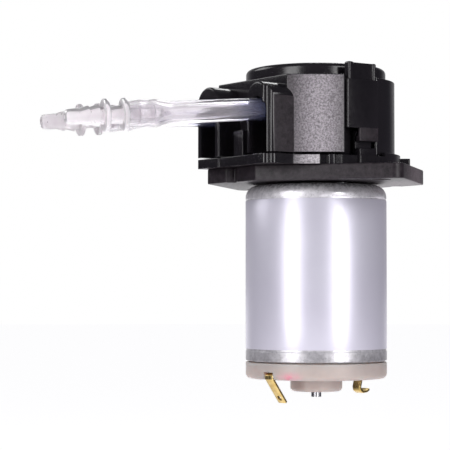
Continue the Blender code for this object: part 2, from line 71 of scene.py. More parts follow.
# The motor. Knobs are raised on the can's shoulder in two pairs, half a turn apart. Each is given as its angle past
# the pair's start, its height, its spread round the shoulder, its spread in height and how far it stands out.
CAN_RADIUS = (CAN_HIGH.x - CAN_LOW.x) / 2
CAN_FACE = -GAP
BOSS_RADIUS = 5.1
KNOB_START = -112.0
KNOBS = [(0, -2.3, 2.3, 0.65, 0.4), (47, -2.4, 1.7, 0.6, 0.35)]
TERMINAL_ANGLE = 10.3
TERMINAL_WIDTH = 2.0
TERMINAL_THICKNESS = 0.5

# The base.
PLATE_TOP = 2.94
PLATE_TURN = -51.2
FLANGE_TOP = 4.75
FLANGE_RADIUS = 16.6
HOLE_Y = 20.0
HOLE_RADIUS = 1.65

# The head. A bowed wall is the arc of a circle, given by the x and y of its centre and its radius. Both are given as
# on the -Y side, and the rear one is mirrored. The rear tube holder is wider on both sides and stands further out.
WALL_X = -15.0
MOUTH_X = HEAD_LOW.x
SHOULDER_Y = 16.6
RECESS_Y = 13.6
BACK_RADIUS = 15.5
LID_RADIUS = 13.75
TRACK_RADIUS = 11.9
FRONT_BOW = (10.45, 17.77, 38.0)
REAR_BOW = (0.0, 0.0, 19.2)
HOLDER_HALF = 3.3
HOLDER_SPRING = 15.0
REAR_EXTRA = 0.4
REAR_SHIFT = 0.2

# The tubes, the channels they lie in and where they swell over the barbs pushed into them.
TUBE_Y = 8.0
TUBE_Z = 13.1
TUBE_RADIUS = 2.12
BORE_RADIUS = 1.15
CHANNEL_RADIUS = 2.4
INNER_BARBS = (2.2, 5.0)
OUTER_STRETCH = 0.8
BORE_STRETCH = 1.35

# A connector's outline: the inner barbs, two flanges, the outer barbs and the bore. Its points are (radius, height),
# with the height counted outwards from the first flange.
FITTING_BORE = 0.62
FITTING = [
    (1.0, -6.6), (1.15, -6.3), (1.55, -5.3), (1.6, -5.05), (1.3, -4.9), (1.35, -3.6), (1.7, -2.5), (1.72, -2.2),
    (1.35, -2.0), (1.35, 0.0),
    (2.85, 0.0), (3.0, 0.15), (3.0, 0.75), (2.85, 0.9), (1.7, 0.95), (1.6, 1.2), (1.6, 3.2), (1.7, 3.45),
    (2.85, 3.5), (3.0, 3.65), (3.0, 4.25), (2.85, 4.4), (1.7, 4.45), (1.6, 4.7), (1.6, 5.1),
    (2.02, 5.25), (2.0, 5.5), (1.55, 7.0), (1.85, 7.1), (1.83, 7.35), (1.4, 8.7), (1.48, 8.9), (1.4, 10.6),
    (1.3, 11.1), (1.05, 11.4),
    (FITTING_BORE, 11.45), (FITTING_BORE, -6.6),
]

# The free tube ends, from inside the head to the connectors' first flanges.
INLET_ROUTE = [
    (-11.0, -8.0, 13.1),
    (-15.5, -8.0, 13.1),
    (-20.3, -8.0, 13.0),
    (-25.3, -7.83, 12.6),
    (-30.3, -7.34, 12.15),
    (-35.2, -6.52, 11.75),
    (-40.1, -5.38, 11.35),
    (-46.0, -3.50, 10.92),
]
OUTLET_ROUTE = [
    (-11.0, 8.0, 13.1),
    (-15.5, 8.0, 13.1),
    (-20.3, 8.0, 13.05),
    (-25.3, 8.2, 12.83),
    (-30.25, 8.8, 12.5),
    (-35.15, 9.77, 12.15),
    (-42.3, 11.95, 11.55),
]


# ---------------------------------------------------------------- camera, stage and lights

VIEW_YAW = math.radians(35.0)
VIEW_PITCH = math.radians(2.14)
RIGHT = Vector((math.cos(VIEW_YAW), -math.sin(VIEW_YAW), 0.0))
AHEAD = Vector((math.sin(VIEW_YAW), math.cos(VIEW_YAW), 0.0))
UP = Vector((0.0, 0.0, 1.0))
CAMERA_DISTANCE = 338.0
CAMERA_LEFT = 17.93
CAMERA_HEIGHT = -20.6
CAMERA_LENS = 137.2
FLOOR_HEIGHT = -150.0
FLOOR_RADIUS = 6000.0
# The lights stand round this point, in metres.
LIGHT_CENTRE = Vector((0.0, 0.0, -0.01))


def make_camera():
    data = bpy.data.cameras.new("camera")
    data.lens = CAMERA_LENS
    data.sensor_width = 36.0
    data.clip_start = 0.01
    data.clip_end = 20.0
    camera = bpy.data.objects.new("camera", data)
    bpy.context.scene.collection.objects.link(camera)
    look = AHEAD * math.cos(VIEW_PITCH) + UP * math.sin(VIEW_PITCH)
    place = -RIGHT * CAMERA_LEFT - AHEAD * CAMERA_DISTANCE + UP * CAMERA_HEIGHT
    matrix = Matrix((RIGHT, RIGHT.cross(look), -look)).transposed().to_4x4()
    matrix.translation = place * MM
    camera.matrix_world = matrix
    bpy.context.scene.camera = camera


def softbox(name, bearing, elevation, distance, width, height, power, tint=(1.0, 1.0, 1.0)):
    """A rectangular light aimed at the pump, in degrees, metres and watts.

    The bearing is measured from the camera's side and is positive to its right.
    """
    around, tilt = math.radians(bearing), math.radians(elevation)
    out = (RIGHT * math.sin(around) - AHEAD * math.cos(around)) * math.cos(tilt) + UP * math.sin(tilt)
    data = bpy.data.lights.new(name, "AREA")
    data.shape = "RECTANGLE"
    data.size = width
    data.size_y = height
    data.energy = power
    data.color = tint
    light = bpy.data.objects.new(name, data)
    bpy.context.scene.collection.objects.link(light)
    light.location = out * distance + LIGHT_CENTRE
    light.rotation_mode = "QUATERNION"
    light.rotation_quaternion = (-out).to_track_quat("-Z", "Y")


def make_world():
    """A studio with a plain white backdrop. In the pump's gloss it is dim at eye level and paler below and behind."""
    world = bpy.data.worlds.new("studio")
    bpy.context.scene.world = world
    world.use_nodes = True
    tree = world.node_tree
    tree.nodes.clear()
    add, link = tree.nodes.new, tree.links.new

    def ranged(value, low, high, most=1.0):
        """Rises from nought to the most as the value goes from low to high."""
        node = add("ShaderNodeMapRange")
        node.inputs["From Min"].default_value = low
        node.inputs["From Max"].default_value = high
        node.inputs["To Max"].default_value = most
        link(value, node.inputs["Value"])
        return node.outputs["Result"]

    direction = add("ShaderNodeTexCoord").outputs["Generated"]
    split = add("ShaderNodeSeparateXYZ")
    link(direction, split.inputs["Vector"])
    height = split.outputs["Z"]
    ramp = add("ShaderNodeValToRGB")
    tones = [
        (0.0, (1.5, 1.45, 1.5)),
        (0.2, (0.9, 0.86, 0.92)),
        (0.36, (0.15, 0.14, 0.17)),
        (0.5, (0.06, 0.055, 0.07)),
        (1.0, (0.08, 0.08, 0.09)),
    ]
    while len(ramp.color_ramp.elements) < len(tones):
        ramp.color_ramp.elements.new(0.5)
    for element, (position, tone) in zip(ramp.color_ramp.elements, tones):
        element.position = position
        element.color = (*tone, 1.0)
    link(ranged(height, -1.0, 1.0), ramp.inputs["Fac"])
    away = add("ShaderNodeVectorMath")
    away.operation = "DOT_PRODUCT"
    away.inputs[1].default_value = AHEAD
    link(direction, away.inputs[0])
    behind = away.outputs["Value"]
    sweep = add("ShaderNodeMath")
    sweep.operation = "MULTIPLY_ADD"
    link(ranged(behind, 0.75, 0.95), sweep.inputs[0])
    link(ranged(height, -0.01, -0.08), sweep.inputs[1])
    link(ranged(behind, 0.70, 1.0, 0.45), sweep.inputs[2])
    total = add("ShaderNodeMix")
    total.data_type = "RGBA"
    total.blend_type = "ADD"
    total.inputs["Factor"].default_value = 1.0
    link(ramp.outputs["Color"], total.inputs["A"])
    link(sweep.outputs["Value"], total.inputs["B"])
    around = add("ShaderNodeBackground")
    link(total.outputs["Result"], around.inputs["Color"])
    seen = add("ShaderNodeBackground")
    seen.inputs["Color"].default_value = (1, 1, 1, 1)
    mix = add("ShaderNodeMixShader")
    path = add("ShaderNodeLightPath")
    either = add("ShaderNodeMath")
    either.operation = "MAXIMUM"
    link(path.outputs["Is Camera Ray"], either.inputs[0])
    link(path.outputs["Is Transmission Ray"], either.inputs[1])
    link(either.outputs["Value"], mix.inputs["Fac"])
    link(around.outputs["Background"], mix.inputs[1])
    link(seen.outputs["Background"], mix.inputs[2])
    link(mix.outputs["Shader"], add("ShaderNodeOutputWorld").inputs["Surface"])


def make_floor():
    """A plain pale ground that neither lights the pump nor shows in its gloss."""
    bm = bmesh.new()
    bmesh.ops.create_circle(bm, cap_ends=True, radius=FLOOR_RADIUS * MM, segments=64)
    mesh = bpy.data.meshes.new("floor")
    bm.to_mesh(mesh)
    bm.free()
    floor = bpy.data.objects.new("floor", mesh)
    bpy.context.scene.collection.objects.link(floor)
    floor.location.z = FLOOR_HEIGHT * MM
    floor.visible_diffuse = False
    floor.visible_glossy = False
    look = bpy.data.materials.new("pale_floor")
    look.use_nodes = True
    shader = look.node_tree.nodes["Principled BSDF"]
    shader.inputs["Base Color"].default_value = (0.9, 0.9, 0.9, 1)
    shader.inputs["Roughness"].default_value = 0.9
    shader.inputs["Specular IOR Level"].default_value = 0.0
    shader.inputs["Emission Color"].default_value = (1, 1, 1, 1)
    shader.inputs["Emission Strength"].default_value = 0.9
    mesh.materials.append(look)


def make_studio():
    bpy.context.scene.view_settings.view_transform = "Standard"
    make_camera()
    make_world()
    make_floor()
    softbox("key_left", -42, 2, 0.60, 0.25, 0.80, 3.1, (1.0, 0.99, 1.0))
    softbox("key_right", 38, 2, 0.60, 0.26, 0.80, 3.4, (1.0, 0.99, 1.0))
    softbox("top_back", 163, 44, 0.60, 0.24, 0.10, 0.45)
    softbox("fill_left", -112, 32, 0.70, 0.34, 0.30, 1.05)


# ---------------------------------------------------------------- materials


class Look:
    """A Principled material whose node tree is built up step by step."""

    def __init__(self, name, colour, roughness, metallic=0.0):
        self.material = bpy.data.materials.new(name)
        self.material.use_nodes = True
        self.tree = self.material.node_tree
        self.shader = self.tree.nodes["Principled BSDF"]
        self.put("Base Color", (*colour, 1.0))
        self.put("Roughness", roughness)
        self.put("Metallic", metallic)
        self.place = self.tree.nodes.new("ShaderNodeTexCoord").outputs["Object"]
        self.bump = None

    def put(self, socket, value):
        self.shader.inputs[socket].default_value = value

    def link(self, source, target):
        self.tree.links.new(source, target)

    def stretched(self, scale):
        node = self.tree.nodes.new("ShaderNodeMapping")
        node.inputs["Scale"].default_value = scale
        self.link(self.place, node.inputs["Vector"])
        return node.outputs["Vector"]

    def noise(self, size, detail=3.0, rough=0.55, scale=(1, 1, 1)):
        """Cloudy noise whose features are about the given size in millimetres."""
        node = self.tree.nodes.new("ShaderNodeTexNoise")
        node.inputs["Scale"].default_value = 1.0 / (size * MM)
        node.inputs["Detail"].default_value = detail
        node.inputs["Roughness"].default_value = rough
        self.link(self.stretched(scale), node.inputs["Vector"])
        return node.outputs["Fac"]

    def remap(self, value, low, high, start=0.3, end=0.7):
        node = self.tree.nodes.new("ShaderNodeMapRange")
        node.inputs["From Min"].default_value = start
        node.inputs["From Max"].default_value = end
        node.inputs["To Min"].default_value = low
        node.inputs["To Max"].default_value = high
        self.link(value, node.inputs["Value"])
        return node.outputs["Result"]

    def hump(self, axis, centre, half):
        """One at the centre on the given axis, falling smoothly to nought at the half width, in millimetres."""
        split = self.tree.nodes.new("ShaderNodeSeparateXYZ")
        self.link(self.place, split.inputs["Vector"])
        away = self.tree.nodes.new("ShaderNodeMath")
        away.operation = "SUBTRACT"
        away.inputs[1].default_value = centre * MM
        self.link(split.outputs[axis], away.inputs[0])
        size = self.tree.nodes.new("ShaderNodeMath")
        size.operation = "ABSOLUTE"
        self.link(away.outputs["Value"], size.inputs[0])
        fall = self.tree.nodes.new("ShaderNodeMapRange")
        fall.interpolation_type = "SMOOTHSTEP"
        fall.inputs["From Max"].default_value = half * MM
        fall.inputs["To Min"].default_value = 1.0
        fall.inputs["To Max"].default_value = 0.0
        self.link(size.outputs["Value"], fall.inputs["Value"])
        return fall.outputs["Result"]

    def times(self, first, second):
        node = self.tree.nodes.new("ShaderNodeMath")
        node.operation = "MULTIPLY"
        self.link(first, node.inputs[0])
        self.link(second, node.inputs[1])
        return node.outputs["Value"]

    def vary_roughness(self, value, low, high):
        self.link(self.remap(value, low, high), self.shader.inputs["Roughness"])

    def vary_colour(self, value, first, second, start=0.3, end=0.7):
        node = self.tree.nodes.new("ShaderNodeMix")
        node.data_type = "RGBA"
        node.inputs["A"].default_value = (*first, 1.0)
        node.inputs["B"].default_value = (*second, 1.0)
        self.link(self.remap(value, 0.0, 1.0, start, end), node.inputs["Factor"])
        self.link(node.outputs["Result"], self.shader.inputs["Base Color"])

    def overlay_colour(self, value, colour):
        """Lays a second colour over the colour that is already there, as much as the value says."""
        node = self.tree.nodes.new("ShaderNodeMix")
        node.data_type = "RGBA"
        node.inputs["B"].default_value = (*colour, 1.0)
        self.link(self.shader.inputs["Base Color"].links[0].from_socket, node.inputs["A"])
        self.link(value, node.inputs["Factor"])
        self.link(node.outputs["Result"], self.shader.inputs["Base Color"])

    def add_bump(self, height, strength, depth):
        """Adds a bump of the given depth in millimetres on top of any bump that is already there."""
        node = self.tree.nodes.new("ShaderNodeBump")
        node.inputs["Strength"].default_value = strength
        node.inputs["Distance"].default_value = depth * MM
        self.link(height, node.inputs["Height"])
        if self.bump:
            self.link(self.bump, node.inputs["Normal"])
        self.bump = node.outputs["Normal"]
        self.link(self.bump, self.shader.inputs["Normal"])


def black_plastic():
    """Moulded black plastic with a satin gloss and faint flow marks."""
    look = Look("black_plastic", (0.011, 0.010, 0.012), 0.2)
    flow = look.noise(6.0, 2.0, 0.5, (1, 1, 0.35))
    look.vary_colour(flow, (0.008, 0.007, 0.009), (0.015, 0.013, 0.016))
    look.vary_roughness(look.noise(0.9, 4.0, 0.6), 0.16, 0.26)
    look.add_bump(look.noise(0.5, 3.0, 0.6), 0.08, 0.02)
    return look.material


def dull_plastic(name, paler_zone=False):
    """The same plastic from a finely ground mould: duller, with a fine grain. It may be paler in patches towards the +X
    end.
    """
    look = Look(name, (0.022, 0.018, 0.021), 0.42)
    look.vary_colour(look.noise(0.9, 5.0, 0.7), (0.006, 0.004, 0.006), (0.036, 0.028, 0.034))
    if paler_zone:
        end = look.hump("X", 12.0, 12.0)
        patches = look.remap(look.noise(1.2, 4.0), 0.6, 1.0)
        look.overlay_colour(look.times(end, patches), (0.14, 0.108, 0.124))
    look.put("Specular IOR Level", 0.34)
    look.vary_roughness(look.noise(0.7, 3.0), 0.36, 0.5)
    look.add_bump(look.noise(0.3, 3.0, 0.7), 0.7, 0.04)
    return look.material


def sparked_plastic(name, highlight_tone):
    """Black plastic with a spark-eroded grain whose tips are painted pale as a painted highlight, strongest in the
    middle of each bowed wall.
    """
    look = Look(name, (0.06, 0.055, 0.06), 0.4)
    grain = look.noise(0.34, 3.0, 0.72)
    # Painted highlight: a hump across the middle of the bowed wall makes the grain tips pale there.
    paler_zone = look.hump("X", -10.1, 6.3)
    highlit_grain_tips = look.times(look.remap(grain, 0.3, 1.1, 0.37, 0.63), paler_zone)
    look.vary_colour(highlit_grain_tips, (0.02, 0.016, 0.019), highlight_tone, 0.0, 1.0)
    look.vary_roughness(look.noise(0.6, 2.0), 0.34, 0.46)
    look.put("Specular IOR Level", 0.5)
    look.add_bump(grain, 1.0, 0.09)
    return look.material


def drawn_steel():
    """Zinc-plated drawn steel, streaked along the draw and scuffed, duller at the foot, and darkened on the shoulder by
    painted shade under the plate.
    """
    look = Look("drawn_steel", (0.70, 0.70, 0.73), 0.34, 0.5)
    streak = look.noise(0.5, 4.0, 0.6, (1, 1, 0.12))
    look.vary_colour(look.noise(1.4, 5.0, 0.7), (0.64, 0.63, 0.66), (0.96, 0.95, 0.98))
    foot = look.hump("Z", -35.5, 6.5)
    look.overlay_colour(look.times(foot, look.remap(look.noise(0.9, 4.0), 0.3, 0.7)), (0.25, 0.245, 0.26))
    scuffs = look.remap(look.noise(0.5, 4.0, 0.7), 0.0, 0.5, 0.54, 0.72)
    look.overlay_colour(scuffs, (0.22, 0.22, 0.24))
    # Painted shade: the top of the shoulder, just under the plate, is darkened in patches.
    shoulder = look.hump("Z", -0.2, 2.0)
    shade_under_plate = look.remap(look.noise(0.8, 4.0, 0.7), 0.0, 0.95, 0.4, 0.6)
    look.overlay_colour(look.times(shoulder, shade_under_plate), (0.17, 0.165, 0.18))
    look.vary_roughness(streak, 0.28, 0.44)
    look.add_bump(look.noise(0.9, 3.0, 0.6), 0.10, 0.03)
    return look.material


def label_foil():
    """Blank metallised label film with a satin face and a faint lavender cast."""
    look = Look("label_foil", (0.76, 0.75, 0.84), 0.34, 0.35)
    look.vary_colour(look.noise(9.0, 3.0), (0.735, 0.72, 0.825), (0.77, 0.76, 0.86))
    look.vary_roughness(look.noise(0.5, 3.0, 0.6), 0.32, 0.38)
    look.add_bump(look.noise(5.0, 2.0, 0.4), 0.10, 0.08)
    look.add_bump(look.noise(0.25, 2.0, 0.6), 0.06, 0.01)
    return look.material


def natural_nylon():
    """Uncoloured nylon: warm grey-white and slightly translucent, with a smudge of red marking ink near the foot."""
    look = Look("natural_nylon", (0.58, 0.51, 0.48), 0.42)
    look.vary_colour(look.noise(4.0, 4.0), (0.54, 0.475, 0.445), (0.62, 0.55, 0.515))
    smudge = look.times(look.hump("X", -12.1, 2.4), look.hump("Z", -37.4, 1.4))
    smudge = look.times(smudge, look.hump("Y", -7.3, 3.6))
    look.overlay_colour(look.times(smudge, look.remap(look.noise(1.0, 3.0), 0.35, 1.0)), (0.85, 0.28, 0.40))
    look.vary_roughness(look.noise(0.8, 3.0), 0.36, 0.5)
    look.add_bump(look.noise(0.4, 3.0), 0.15, 0.03)
    look.put("Subsurface Weight", 0.7)
    look.put("Subsurface Radius", (1.0, 0.75, 0.65))
    look.put("Subsurface Scale", 0.004)
    return look.material


def bright_brass():
    """Bright brass strip, drawn lengthways."""
    look = Look("bright_brass", (0.78, 0.58, 0.20), 0.28, 1.0)
    look.vary_colour(look.noise(1.2, 4.0), (0.60, 0.42, 0.12), (0.86, 0.68, 0.30))
    look.vary_roughness(look.noise(0.3, 3.0, 0.6, (1, 1, 0.2)), 0.2, 0.42)
    look.add_bump(look.noise(0.3, 3.0, 0.6, (1, 1, 0.15)), 0.25, 0.03)
    return look.material


def silicone():
    """Clear silicone with a faint milky haze, with painted shade that makes it darker and bluer near the head, where
    the pumped part of it starts.
    """
    look = Look("silicone", (0.80, 0.79, 0.825), 0.08)
    # Painted shade: darker and bluer towards the head's mouth, where the head shades the tube.
    look.vary_colour(look.hump("X", -17.0, 10.5), (0.83, 0.805, 0.84), (0.30, 0.33, 0.56), 0.0, 1.0)
    look.put("Transmission Weight", 0.9)
    look.put("IOR", 1.41)
    look.put("Subsurface Weight", 0.2)
    look.put("Subsurface Radius", (1.0, 1.0, 1.0))
    look.put("Subsurface Scale", 0.001)
    look.vary_roughness(look.noise(1.5, 3.0, 0.5, (0.25, 1, 1)), 0.06, 0.14)
    look.add_bump(look.noise(1.6, 2.0, 0.5, (0.12, 1, 1)), 0.04, 0.02)
    return look.material


def polypropylene():
    """Milky natural polypropylene."""
    look = Look("polypropylene", (0.80, 0.76, 0.79), 0.32)
    look.put("Transmission Weight", 0.6)
    look.put("IOR", 1.49)
    look.put("Subsurface Weight", 0.35)
    look.put("Subsurface Radius", (1.0, 0.9, 0.95))
    look.put("Subsurface Scale", 0.0012)
    look.vary_colour(look.noise(1.6, 3.0), (0.86, 0.82, 0.85), (0.93, 0.90, 0.92))
    look.vary_roughness(look.noise(0.6, 3.0), 0.26, 0.4)
    look.add_bump(look.noise(0.5, 3.0), 0.2, 0.04)
    return look.material


def ground_metal(name, colour, low, high, size=0.4):
    """Metal with a fine grind of the given size in millimetres, its roughness between low and high."""
    look = Look(name, colour, low, 1.0)
    look.vary_colour(look.noise(1.5, 4.0), tuple(c * 0.8 for c in colour), colour)
    look.vary_roughness(look.noise(size, 3.0, 0.6, (1, 1, 0.2)), low, high)
    look.add_bump(look.noise(size, 3.0, 0.6, (1, 1, 0.1)), 0.2, 0.02)
    return look.material


def grained(name, colour, low, high, depth=0.04):
    """A dull solid with a fine grain of the given depth in millimetres, its roughness between low and high."""
    look = Look(name, colour, low)
    look.vary_colour(look.noise(1.2, 4.0), tuple(c * 0.82 for c in colour), colour)
    look.vary_roughness(look.noise(0.5, 3.0), low, high)
    look.add_bump(look.noise(0.3, 3.0), 0.3, depth)
    return look.material


# ---------------------------------------------------------------- outlines


def arc(radius, start, end, steps, centre=(0.0, 0.0)):
    """Points on a circle from the start angle to the end angle, in degrees, both ends kept."""
    angles = [math.radians(start + (end - start) * i / steps) for i in range(steps + 1)]
    return [(centre[0] + radius * math.cos(a), centre[1] + radius * math.sin(a)) for a in angles]


def mirrored(outline):
    return [(x, -y) for x, y in reversed(outline)]


def filleted(corners, steps=6):
    """Rounds the corners of a closed outline. Each corner is (x, y) to stay sharp, or (x, y, radius)."""
    made = []
    for i, corner in enumerate(corners):
        here = Vector(corner[:2])
        radius = corner[2] if len(corner) > 2 else 0.0
        if not radius:
            made.append(tuple(here))
            continue
        before = (Vector(corners[i - 1][:2]) - here).normalized()
        after = (Vector(corners[(i + 1) % len(corners)][:2]) - here).normalized()
        half = before.angle(after) / 2
        middle = here + (before + after).normalized() * (radius / math.sin(half))
        first = here + before * (radius / math.tan(half)) - middle
        last = here + after * (radius / math.tan(half)) - middle
        sweep = math.atan2(first.x * last.y - first.y * last.x, first.dot(last))
        for k in range(steps + 1):
            made.append(tuple(middle + Matrix.Rotation(sweep * k / steps, 2) @ first))
    return made


def inset(outline, distance):
    """The closed anticlockwise outline moved inwards by the distance."""
    moved = []
    count = len(outline)
    for i in range(count):
        here = Vector(outline[i])
        ahead = (Vector(outline[(i + 1) % count]) - here).normalized()
        behind = (here - Vector(outline[i - 1])).normalized()
        normal = Vector((-ahead.y - behind.y, ahead.x + behind.x))
        length = max(normal.length, 1e-6)
        normal /= length
        moved.append(tuple(here + normal * (distance / max(normal.dot(Vector((-ahead.y, ahead.x))), 0.4))))
    return moved


def anticlockwise(outline):
    area = sum(a[0] * b[1] - b[0] * a[1] for a, b in zip(outline, outline[1:] + outline[:1]))
    return outline if area > 0 else outline[::-1]


# ---------------------------------------------------------------- meshes

# Lays a slab on its side: its outline is then in y and z, and its height runs along x.
ALONG_X = Matrix(((0, 0, 1, 0), (1, 0, 0, 0), (0, 1, 0, 0), (0, 0, 0, 1)))


def linked(name, mesh):
    obj = bpy.data.objects.new(name, mesh)
    bpy.context.scene.collection.objects.link(obj)
    return obj


def from_bmesh(name, bm, matrix=None):
    if matrix:
        bm.transform(matrix)
    bmesh.ops.recalc_face_normals(bm, faces=bm.faces)
    bm.transform(Matrix.Scale(MM, 4))
    mesh = bpy.data.meshes.new(name)
    bm.to_mesh(mesh)
    bm.free()
    return linked(name, mesh)


def slab(name, outline, low, high, bottom=0.0, top=0.0, steps=3, matrix=None):
    """The outline pulled up from low to high, with its bottom and top edges rounded by the given radii."""
    outline = anticlockwise(outline)
    if bottom:
        levels = [(low + bottom - bottom * math.cos(math.pi / 2 * k / steps),
                   bottom * (1 - math.sin(math.pi / 2 * k / steps))) for k in range(steps + 1)]
    else:
        levels = [(low, 0.0)]
    if top:
        levels += [(high - top + top * math.sin(math.pi / 2 * k / steps),
                    top * (1 - math.cos(math.pi / 2 * k / steps))) for k in range(steps + 1)]
    else:
        levels.append((high, 0.0))
    bm = bmesh.new()
    rings = [[bm.verts.new((*point, height)) for point in inset(outline, back)] for height, back in levels]
    for below, above in zip(rings, rings[1:]):
        for k in range(len(below)):
            bm.faces.new((below[k - 1], below[k], above[k], above[k - 1]))
    bm.faces.new(rings[0][::-1])
    bm.faces.new(rings[-1])
    return from_bmesh(name, bm, matrix)


def box(name, low, high, edge=0.0):
    (x0, y0, z0), (x1, y1, z1) = low, high
    corner = edge + 0.08
    outline = filleted([(x0, y0, corner), (x1, y0, corner), (x1, y1, corner), (x0, y1, corner)], 3)
    return slab(name, outline, z0, z1, edge, edge)


def turned(name, profile, steps=96, matrix=None):
    """The closed outline of (radius, height) points, spun about the vertical axis."""
    bm = bmesh.new()
    points = [bm.verts.new((radius, 0.0, height)) for radius, height in profile]
    edges = [bm.edges.new((points[i - 1], points[i])) for i in range(len(points))]
    full = 2 * math.pi
    bmesh.ops.spin(bm, geom=points + edges, cent=(0, 0, 0), axis=(0, 0, 1), angle=full, steps=steps, use_merge=True)
    bmesh.ops.remove_doubles(bm, verts=bm.verts, dist=1e-4)
    bmesh.ops.dissolve_degenerate(bm, edges=bm.edges, dist=1e-5)
    bmesh.ops.delete(bm, geom=[edge for edge in bm.edges if not edge.link_faces], context="EDGES")
    return from_bmesh(name, bm, matrix)


def frames_along(path):
    """A side and an upward direction at each point of a path that never points straight up."""
    made = []
    for i in range(len(path)):
        ahead = (path[min(i + 1, len(path) - 1)] - path[max(i - 1, 0)]).normalized()
        side = ahead.cross(UP).normalized()
        made.append((side, side.cross(ahead).normalized()))
    return made


def hose(name, path, outer, inner, steps=40):
    """A hollow tube along the path, with an outer and an inner radius at each point, open at both ends."""
    bm = bmesh.new()
    axes = frames_along(path)

    def circle(i, radius):
        side, rise = axes[i]
        turn = [2 * math.pi * k / steps for k in range(steps)]
        return [bm.verts.new(path[i] + side * radius * math.cos(a) + rise * radius * math.sin(a)) for a in turn]

    rings = [circle(i, outer[i]) for i in range(len(path))]
    rings += [circle(i, inner[i]) for i in reversed(range(len(path)))]
    for near, far in zip(rings, rings[1:] + rings[:1]):
        for k in range(steps):
            bm.faces.new((near[k - 1], near[k], far[k], far[k - 1]))
    return from_bmesh(name, bm)


def apply_modifiers(obj):
    graph = bpy.context.evaluated_depsgraph_get()
    mesh = bpy.data.meshes.new_from_object(obj.evaluated_get(graph), depsgraph=graph)
    obj.modifiers.clear()
    obj.data = mesh
    return obj


def combine(obj, tools, operation):
    """Joins or cuts the piece with the tools, which are used up."""
    for tool in tools:
        step = obj.modifiers.new(tool.name, "BOOLEAN")
        step.operation = operation
        step.solver = "EXACT"
        step.object = tool
        apply_modifiers(obj)
        bpy.data.objects.remove(tool, do_unlink=True)
    return obj


def join(obj, *tools):
    return combine(obj, tools, "UNION")


def cut(obj, *tools):
    return combine(obj, tools, "DIFFERENCE")


def shade(obj, *materials, angle=35):
    """Gives the piece its materials and smooth shading up to the angle."""
    obj.data.materials.clear()
    for look in materials:
        obj.data.materials.append(look)
    obj.data.shade_smooth()
    obj.data.set_sharp_from_angle(angle=math.radians(angle))
    return obj


def paint(obj, slot, chosen):
    """Gives the material slot to the faces whose centre and normal, in millimetres, the test accepts."""
    for face in obj.data.polygons:
        if chosen(Vector(face.center) / MM, face.normal):
            face.material_index = slot


def stand(obj, body, nodes):
    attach(obj, body)
    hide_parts(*nodes)


# ---------------------------------------------------------------- base


def plate_outline():
    """The plate's diamond. Its second half is the first one turned half way round."""
    half = [
        (20.2, -16.3, 1.9),
        (20.2, 7.1, 0.7),
        (15.2, 11.2, 0.5),
        (13.6, 10.2, 0.3),
        (12.6, 12.2, 0.4),
        (8.0, 16.3, 0.7),
    ]
    whole = filleted(half + [(-x, -y, r) for x, y, r in half])
    turn = Matrix.Rotation(math.radians(PLATE_TURN), 2)
    return [tuple(turn @ Vector(point)) for point in whole]


def shoulder(bow, start_y):
    """The bowed wall on the -Y side, from beside the tube holder to the latch."""
    x, y, radius = bow
    start = -180 + math.degrees(math.asin((start_y + y) / radius))
    end = -180 + math.degrees(math.asin((SHOULDER_Y + y) / radius))
    return arc(radius, start, end, 18, (x, y))


def corner_y(bow):
    """How far out in y a bowed wall reaches where it meets the flat wall behind the tube holders."""
    x, y, radius = bow
    return math.sqrt(radius**2 - (WALL_X - x) ** 2) - y


def round_back(radius, x):
    """The arc round the +X side, from the given x on the -Y side to the same x on the +Y side."""
    start = -math.degrees(math.acos(x / radius))
    return arc(radius, start, -start, 72)


def flange_outline():
    """The base's upper step: under the front wall it is broken by a recess and a narrow rib beside the latch."""
    x, y, radius = FRONT_BOW
    outer = TUBE_Y + HOLDER_HALF
    start = -180 + math.degrees(math.asin((outer + y) / (radius + 0.1)))
    front = arc(radius + 0.1, start, -122.7, 12, (x, y))
    front = [(*front[0], 0.2), *front[1:-1], (*front[-1], 0.2)]
    steps = [
        (-0.8, -122.4, 0),
        (-0.8, -120.7, 0),
        (0.1, -120.3, 0.5),
        (0.1, -118.4, 0.5),
        (-0.5, -118.0, 0),
        (-0.5, -116.3, 0.2),
    ]
    front += [(*arc(radius + rise, angle, angle, 1, (x, y))[0], corner) for rise, angle, corner in steps]
    latch = [(-5.5, -SHOULDER_Y + 0.7), (-2.3, -SHOULDER_Y + 0.7), (-2.3, -SHOULDER_Y, 0.2)]
    latch.append((LATCH_HIGH.x + GAP, -SHOULDER_Y, 0.2))
    rear = [*shoulder(REAR_BOW, outer), (LATCH_LOW.x - GAP, -SHOULDER_Y), (LATCH_HIGH.x + GAP, -SHOULDER_Y)]
    back = round_back(FLANGE_RADIUS, LATCH_HIGH.x + GAP)
    return filleted([*nose_outline(True), *front, *latch, *back, *mirrored(rear), *mirrored(nose_outline(False))])


def nose_outline(ridged):
    """A tube holder's free end on the -Y side, from its inner to its outer corner.

    The front holder's has two upright ridges. The rear holder's is plain and is given mirrored.
    """
    inner, outer = HOLDER_HALF - TUBE_Y, -HOLDER_HALF - TUBE_Y
    if not ridged:
        inner, outer = inner + REAR_EXTRA - REAR_SHIFT, outer - REAR_EXTRA - REAR_SHIFT
    edge = arc(0.35, 90, 180, 4, (MOUTH_X + 0.35, inner - 0.35))
    if not ridged:
        return edge + arc(0.6, 180, 270, 6, (MOUTH_X + 0.6, outer + 0.6))
    first = arc(0.9, 180, 261, 8, (MOUTH_X + 0.9, outer + 1.74))
    second = arc(0.9, 184, 270, 8, (MOUTH_X + 1.98, outer + 0.9))
    return edge + first + second


